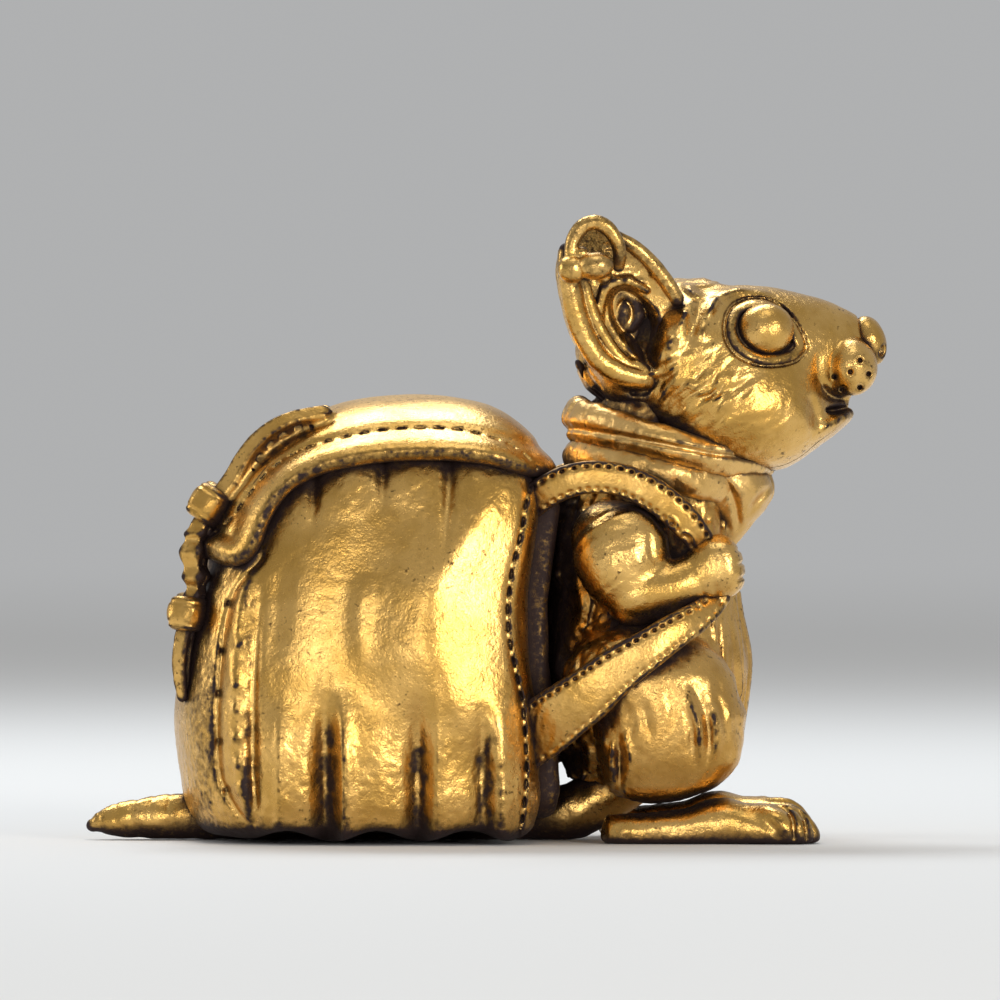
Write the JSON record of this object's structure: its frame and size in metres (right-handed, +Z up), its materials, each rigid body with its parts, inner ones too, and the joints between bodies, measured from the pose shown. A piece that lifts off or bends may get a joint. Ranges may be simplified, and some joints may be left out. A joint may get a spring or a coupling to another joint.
{
  "type": "mouse figurine",
  "caption": "Solid cast brass figurine of a crouching mouse in a neckerchief with a hoop in one ear, gripping the straps of a large rucksack, standing flat on feet and bag.",
  "frame": {"origin": "on the ground, under the middle of the piece's bounding box", "axes": "+X towards the mouse's nose, +Y to the mouse's left, +Z up"},
  "size_m": [0.0423, 0.02, 0.0328],
  "materials": {
    "skin_brass": "polished smooth skin with dark patina in the recesses",
    "fur_brass": "tooled fur, worn bright on the ridges, dark in the grooves",
    "scarf_brass": "folded cloth, satin with dark patina in the folds",
    "bag_brass": "soft bag surface, polished on the bulges, with engraved stitching",
    "strap_brass": "strap with engraved stitching along both edges, satin",
    "ring_brass": "bright polished hoop"
  },
  "bodies": {
    "root": {"arm_left": "skin_brass", "arm_right": "skin_brass", "bag_back_panel": "bag_brass", "bag_body": "bag_brass", "bag_flap": "bag_brass", "ear_left": "skin_brass", "ear_right": "skin_brass", "ear_ring": "ring_brass", "eye_left": "skin_brass", "eye_right": "skin_brass", "eyelid_left": "skin_brass", "eyelid_right": "skin_brass", "flap_strap_left": "strap_brass", "flap_strap_right": "strap_brass", "foot_left": "skin_brass", "foot_right": "skin_brass", "hand_left": "skin_brass", "hand_right": "skin_brass", "head": "skin_brass", "keeper_lower_left": "strap_brass", "keeper_lower_right": "strap_brass", "keeper_upper_left": "strap_brass", "keeper_upper_right": "strap_brass", "leg_left": "fur_brass", "leg_right": "fur_brass", "lower_jaw": "skin_brass", "nose": "skin_brass", "scarf_collar": "scarf_brass", "scarf_point": "scarf_brass", "scarf_wrap": "scarf_brass", "shoulder_strap_lower_left": "strap_brass", "shoulder_strap_lower_right": "strap_brass", "shoulder_strap_upper_left": "strap_brass", "shoulder_strap_upper_right": "strap_brass", "tail": "skin_brass", "torso": "fur_brass", "whisker_pad_left": "skin_brass", "whisker_pad_right": "skin_brass"}
  },
  "joints": []
}
